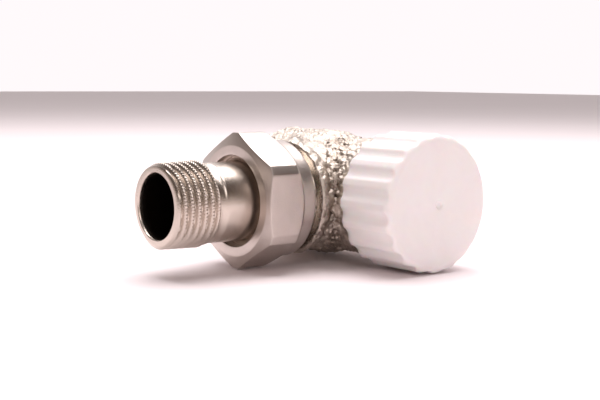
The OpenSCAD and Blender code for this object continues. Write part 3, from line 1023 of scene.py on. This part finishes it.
@dataclass
class ProtectiveCap:
    """White moulded cap with scallops, a rounded front edge and a gate mark.

    Attributes:
        radius: radius over the crests.
        foot: place of the open end along the stem.
        top: place of the front face.
        edge: rounding of the front edge.
        flutes: number of scallops.
        flute: radius of each scallop.
        deep: depth of each scallop.
    """

    radius: float = 17.0
    foot: float = 17.5
    top: float = 34.5
    edge: float = 2.2
    flutes: int = 20
    flute: float = 3.0
    deep: float = 0.75

    def scallop(self, angle: np.ndarray) -> np.ndarray:
        """Radius of the scalloped outline.

        Formula: the lesser of the plain radius and the near side of a circle of the scallop's radius
        whose middle lies outside, with the two rounded into each other.
        """
        step = 2 * math.pi / self.flutes
        off = (angle % step) - step / 2
        middle = self.radius + self.flute - self.deep
        under = np.maximum(self.flute**2 - (middle * np.sin(off)) ** 2, 0.0)
        hollow = np.where(under > 0, middle * np.cos(off) - np.sqrt(under), middle)
        return smooth_min(np.full_like(off, self.radius), hollow, 0.3)

    def build(self) -> None:
        """Make the cap from its outer skin and its inner room, which meet at the foot."""
        turns = self.flutes * 26
        angle = (np.arange(turns) * 2 * math.pi / turns)[:, None]
        rim = self.radius - self.edge
        face = np.array([0.0, 0.45, 0.8, 1.0, 1.15, 1.5, 2.5, 4.0, 6.0, 8.0, 10.0, 12.0, 13.6, rim])
        dish = 0.4 * np.clip((1.2 - face) / 0.4, 0.0, 1.0)
        bend = np.radians(np.linspace(82.0, 0.0, 11))
        skirt = np.array([30.5, 28.5, 26.0, 23.5, 21.0, 19.0, self.foot + 0.35])
        base = np.concatenate([face, rim + self.edge * np.cos(bend), np.full(skirt.size, self.radius)])
        along = np.concatenate([self.top - dish, self.top - self.edge + self.edge * np.sin(bend), skirt])
        outer = smooth_min(np.broadcast_to(base, (turns, base.size)), self.scallop(angle), 0.35)
        outer[:, : face.size] = face
        inner = [(-0.35, 17.5), (15.35, 17.5), (15.15, 17.7), (15.15, 25.3), (14.05, 26.1), (14.05, 31.7)]
        inner += [(13.05, 32.7), (3.5, 32.7), (3.2, 32.4), (3.2, 28.8), (2.9, 28.5), (0.0, 28.5)]
        inner_r = np.array([r for r, _ in inner])
        inside = np.broadcast_to(inner_r, (turns, inner_r.size)).copy()
        inside[:, 0] = outer[:, -1] - 0.35
        radius = np.hstack([outer, inside])
        along = np.concatenate([along, [y for _, y in inner]])
        points = around(Axis.STEM, angle, radius, np.broadcast_to(along, radius.shape))
        piece = poled_object("cap_moulding", points, 46.0)
        piece.data.materials.append(CAP_WHITE.material())
        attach(piece, "cap")
        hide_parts("protective_cap")


@dataclass
class ValveInsert:
    """The solids inside the casting, which keep their shape and get their finishes."""

    finishes: dict[str, Finish] = field(
        default_factory=lambda: {
            "insert_housing": BRASS,
            "gland_nut": BRASS,
            "pin_washer": BRASS,
            "disc_holder": BRASS,
            "disc_nut": BRASS,
            "insert_o_ring": RUBBER,
            "gland_o_ring": RUBBER,
            "pin_o_ring": RUBBER,
            "seat_disc": RUBBER,
            "guide_bush": PALE,
            "pin_back_ring": PALE,
            "pressure_pin": STEEL,
            "spindle": STEEL,
            "spindle_clip": STEEL,
            "spring_cup": STEEL,
            "return_spring": STEEL,
            "disc_washer": STEEL,
        }
    )

    def build(self) -> None:
        """Give each inner solid its material."""
        for node, finish in self.finishes.items():
            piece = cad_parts[node]
            for slot in piece.material_slots:
                slot.material = finish.material()
            if not piece.material_slots:
                piece.data.materials.append(finish.material())


@dataclass
class Studio:
    """Pale floor, soft light from above and behind, and the photograph's camera.

    Attributes:
        eye: place of the camera in the frame, in metres.
        azimuth: direction to the camera from +X towards +Y, in degrees.
        elevation: height of that direction, in degrees.
        roll: turn of the camera about its view, in degrees.
        lens: focal length for a 36 mm wide picture.
        floor: height of the floor in metres.
    """

    eye: tuple[float, float, float] = (0.197194, 0.250416, 0.029756)
    azimuth: float = 50.926
    elevation: float = 6.079
    roll: float = 0.5
    lens: float = 68.508
    floor: float = -0.017

    def basis(self) -> tuple[Vector, Vector, Vector]:
        """Return the camera's right, up and backward directions, the first two turned by the roll."""
        a, e, r = (math.radians(v) for v in (self.azimuth, self.elevation, self.roll))
        back = Vector((math.cos(a) * math.cos(e), math.sin(a) * math.cos(e), math.sin(e)))
        right = Vector((0, 0, 1)).cross(back).normalized()
        up = back.cross(right)
        return right * math.cos(r) + up * math.sin(r), up * math.cos(r) - right * math.sin(r), back

    def camera(self) -> None:
        """Make the camera."""
        data = bpy.data.cameras.new("camera")
        data.sensor_fit, data.sensor_width, data.lens = "HORIZONTAL", 36.0, self.lens
        data.clip_start, data.clip_end = 0.01, 20.0
        eye = bpy.data.objects.new("camera", data)
        bpy.context.scene.collection.objects.link(eye)
        turn = Matrix(self.basis()).transposed().to_4x4()
        eye.matrix_world = Matrix.Translation(self.eye) @ turn
        bpy.context.scene.camera = eye

    def sheet(self) -> None:
        """Make the floor: a wide square of 24 by 24 faces."""
        line = np.linspace(-3.0, 3.0, 25)
        x, y = np.meshgrid(line, line, indexing="ij")
        points = np.stack([x, y, np.full_like(x, self.floor)], axis=-1).reshape(-1, 3)
        i, j = np.meshgrid(np.arange(24), np.arange(24), indexing="ij")
        faces = np.stack([i * 25 + j, (i + 1) * 25 + j, (i + 1) * 25 + j + 1, i * 25 + j + 1], axis=-1).reshape(-1, 4)
        mesh = bpy.data.meshes.new("floor")
        mesh.from_pydata(points.tolist(), [], faces.tolist())
        floor = bpy.data.objects.new("floor", mesh)
        bpy.context.scene.collection.objects.link(floor)
        floor.data.materials.append(FLOOR.material())

    def panel(self, name: str, at: Colour, size: tuple[float, float], watts: float, tint: Colour) -> None:
        """Hang a soft light that faces the valve.

        Args:
            name: name of the light.
            at: place in metres.
            size: its two sides in metres.
            watts: power.
            tint: colour of the light.
        """
        data = bpy.data.lights.new(name, "AREA")
        data.shape, data.size, data.size_y = "RECTANGLE", size[0], size[1]
        data.energy, data.color = watts, tint
        lamp = bpy.data.objects.new(name, data)
        bpy.context.scene.collection.objects.link(lamp)
        way = Vector((0.02, 0.03, 0.0)) - Vector(at)
        lamp.matrix_world = Matrix.Translation(at) @ way.to_track_quat("-Z", "Y").to_matrix().to_4x4()

    def surroundings(self) -> None:
        """Shade the world: white behind the valve, and in front pale below and dark above the horizon."""
        world = bpy.data.worlds.new("surroundings")
        world.use_nodes = True
        world.node_tree.nodes.clear()
        graph = Graph(world.node_tree)
        way = graph.wire(graph.add("ShaderNodeTexCoord"), "Generated")
        x, y, z = graph.split(way)
        back = x * -math.cos(math.radians(self.azimuth)) - y * math.sin(math.radians(self.azimuth))
        stops = [
            (0.0, (0.75, 0.68, 0.66)),
            (0.5, (0.80, 0.72, 0.70)),
            (0.58, (0.62, 0.52, 0.48)),
            (0.68, (0.10, 0.075, 0.06)),
            (0.86, (0.12, 0.09, 0.08)),
            (1.0, (0.9, 0.86, 0.85)),
        ]
        ramp = graph.add("ShaderNodeValToRGB", {"stops": stops}, {"Fac": z * 0.5 + 0.5})
        colour = graph.mix(back.between(0.25, 0.75), graph.wire(ramp, "Color"), (1.02, 0.955, 0.97))
        shade = graph.add("ShaderNodeBackground", None, {"Color": colour, "Strength": 1.0})
        graph.add("ShaderNodeOutputWorld", None, {"Surface": graph.wire(shade)})
        bpy.context.scene.world = world

    def build(self) -> None:
        """Set up the camera, the floor, the lights and the surroundings."""
        bpy.context.scene.view_settings.view_transform = "Standard"
        self.camera()
        self.sheet()
        self.surroundings()
        self.panel("top light", (-0.12, -0.10, 0.75), (0.8, 0.8), 9.0, (1.0, 0.95, 0.96))
        self.panel("front fill", (0.5, 0.75, 0.55), (0.4, 0.4), 1.5, (1.0, 0.93, 0.92))


def main() -> None:
    logging.basicConfig(level=logging.INFO, format="%(name)s: %(message)s")
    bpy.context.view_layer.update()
    for part in (Studio(), ValveCasting(), UnionNut(), UnionTail(), ProtectiveCap(), ValveInsert()):
        part.build()
        LOG.info("built %s", type(part).__name__)


if __name__ == "__main__":
    main()
